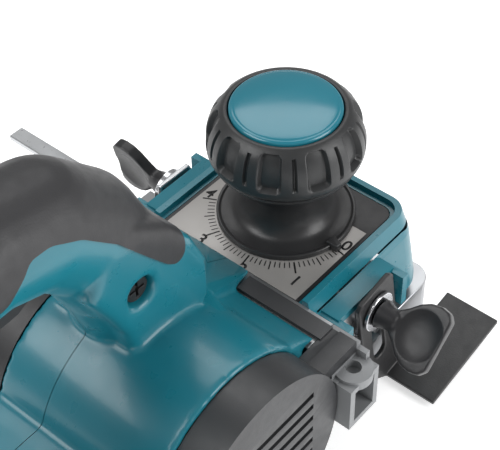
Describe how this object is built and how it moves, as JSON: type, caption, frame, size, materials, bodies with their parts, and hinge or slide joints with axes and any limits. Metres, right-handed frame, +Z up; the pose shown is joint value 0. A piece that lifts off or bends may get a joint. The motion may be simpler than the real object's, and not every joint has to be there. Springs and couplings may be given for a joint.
{
  "type": "electric hand planer",
  "caption": "Electric hand planer with front depth knob over a dial, loop handle with soft grip, belt-driven cutter drum, side wing screws, fence bar and rabbet guide.",
  "frame": {"origin": "point on the flat rear sole, on the centre line, midway along the body", "axes": "+X is the feed direction, +Y the left side, +Z up from the sole"},
  "size_m": [0.2878, 0.2283, 0.1632],
  "materials": {
    "cast_alloy": "satin cast",
    "steel": "bright machined",
    "blade_steel": "ground",
    "dark_steel": "black coated sheet steel",
    "bearing_steel": "polished",
    "pulley_alloy": "satin machined",
    "belt_rubber": "matt",
    "black_plastic": "lightly moulded",
    "soft_black": "soft matt",
    "teal_plastic": "semi-gloss moulded",
    "dark_grey_plastic": "matt moulded",
    "core_iron": "laminated",
    "copper": "copper",
    "brass": "plain",
    "carbon": "carbon",
    "dial_face": "satin printed",
    "zinc": "bright plated"
  },
  "bodies": {
    "frame": {"rear_base": "cast_alloy", "body_frame": "cast_alloy", "base_screws": "steel", "drum_bearings": "bearing_steel", "drive_belt": "belt_rubber", "belt_cover": "black_plastic", "belt_cover_screws": "steel", "motor_bearings": "bearing_steel", "stator_core": "core_iron", "field_coils": "copper", "brush_holders": "brass", "carbon_brushes": "carbon", "brush_caps": "black_plastic", "fan_housing": "black_plastic", "housing_right": "teal_plastic", "housing_left": "teal_plastic", "soft_grip": "soft_black", "handle_screws": "steel", "end_cap": "dark_grey_plastic", "end_cap_screws": "steel", "chip_duct": "cast_alloy", "switch_body": "black_plastic", "trigger_pin": "steel", "lock_spring": "steel", "cord_gland": "soft_black", "front_housing": "teal_plastic", "dial_plate": "dial_face", "detent_ball": "steel", "detent_spring": "steel", "bracket_right": "zinc", "bracket_left": "zinc", "fence_arm": "zinc", "foot_pin": "steel"},
    "shoe": {"front_base": "cast_alloy"},
    "knob": {"knob_body": "black_plastic", "knob_grip": "soft_black", "knob_cap": "teal_plastic", "depth_spindle": "steel"},
    "drum": {"cutter_drum": "steel", "planer_blades": "blade_steel", "blade_clamps": "dark_steel", "blade_screws": "steel", "drum_pulley": "pulley_alloy"},
    "armature": {"armature_shaft": "steel", "armature_core": "core_iron", "commutator": "copper", "cooling_fan": "black_plastic", "motor_pulley": "pulley_alloy"},
    "trigger": {"trigger": "black_plastic"},
    "lock_button": {"lock_button": "black_plastic"},
    "washer_right": {"wing_washer_right": "zinc"},
    "wing_right": {"wing_screw_right": "black_plastic"},
    "washer_left": {"wing_washer_left": "zinc"},
    "wing_left": {"wing_screw_left": "black_plastic"},
    "bush": {"guide_bush": "steel"},
    "guide": {"depth_guide": "dark_steel"},
    "fence": {"fence_plate": "cast_alloy"},
    "guard": {"blade_guard": "dark_steel"},
    "foot": {"rear_foot": "black_plastic"}
  },
  "joints": [
    {"name": "depth_turn", "type": "hinge", "parent": "frame", "child": "knob", "pos_m": [0.1, 0, 0.06], "axis": [0, 0, 1], "range_deg": [-144, 0]},
    {"name": "depth_slide", "type": "slide", "parent": "frame", "child": "shoe", "axis": [0, 0, 1], "range_m": [0, 0.004]},
    {"name": "drum_spin", "type": "hinge", "parent": "frame", "child": "drum", "pos_m": [0.077, 0, 0.022], "axis": [0, 1, 0], "continuous": true},
    {"name": "motor_spin", "type": "hinge", "parent": "frame", "child": "armature", "pos_m": [0.015, 0, 0.045], "axis": [0, 1, 0], "continuous": true},
    {"name": "trigger_pull", "type": "hinge", "parent": "frame", "child": "trigger", "pos_m": [-0.019, 0, 0.133], "axis": [0, 1, 0], "range_deg": [0, 6], "stiffness_Nm_per_rad": 0.8, "springref_deg": -6.88},
    {"name": "lock_press", "type": "slide", "parent": "frame", "child": "lock_button", "axis": [0, -1, 0], "range_m": [0, 0.003], "stiffness_N_per_m": 400, "springref_m": -0.003, "deforming": ["lock_spring"]},
    {"name": "wing_right_shift", "type": "slide", "parent": "frame", "child": "washer_right", "axis": [0, -1, 0], "range_m": [0, 0.002]},
    {"name": "wing_right_turn", "type": "hinge", "parent": "washer_right", "child": "wing_right", "pos_m": [0.09, 0, 0.049], "axis": [0, -1, 0], "range_deg": [0, 720]},
    {"name": "wing_left_shift", "type": "slide", "parent": "frame", "child": "washer_left", "axis": [0, 1, 0], "range_m": [0, 0.002]},
    {"name": "wing_left_turn", "type": "hinge", "parent": "washer_left", "child": "wing_left", "pos_m": [0.09, 0, 0.049], "axis": [0, 1, 0], "range_deg": [0, 720]},
    {"name": "guide_tilt", "type": "hinge", "parent": "frame", "child": "bush", "pos_m": [0.09, 0, 0.049], "axis": [0, 1, 0], "range_deg": [-3, 9]},
    {"name": "guide_slide", "type": "slide", "parent": "bush", "child": "guide", "axis": [-0.1736, 0, 0.9848], "range_m": [-0.001, 0.02]},
    {"name": "fence_slide", "type": "slide", "parent": "frame", "child": "fence", "axis": [0, 1, 0], "range_m": [0, 0.06]},
    {"name": "guard_swing", "type": "hinge", "parent": "frame", "child": "guard", "pos_m": [0.077, 0, 0.022], "axis": [0, 1, 0], "range_deg": [0, 60], "stiffness_Nm_per_rad": 0.01, "springref_deg": -28.65},
    {"name": "foot_swing", "type": "hinge", "parent": "frame", "child": "foot", "pos_m": [-0.108, 0, 0.012], "axis": [0, -1, 0], "range_deg": [0, 35]}
  ],
  "couplings": [
    {"joint": "depth_turn", "follows": "depth_slide", "rad_per_m": -628.32},
    {"joint": "motor_spin", "follows": "drum_spin", "ratio": 1.15},
    {"joint": "wing_right_turn", "follows": "wing_right_shift", "rad_per_m": 6283.2},
    {"joint": "wing_left_turn", "follows": "wing_left_shift", "rad_per_m": 6283.2}
  ]
}
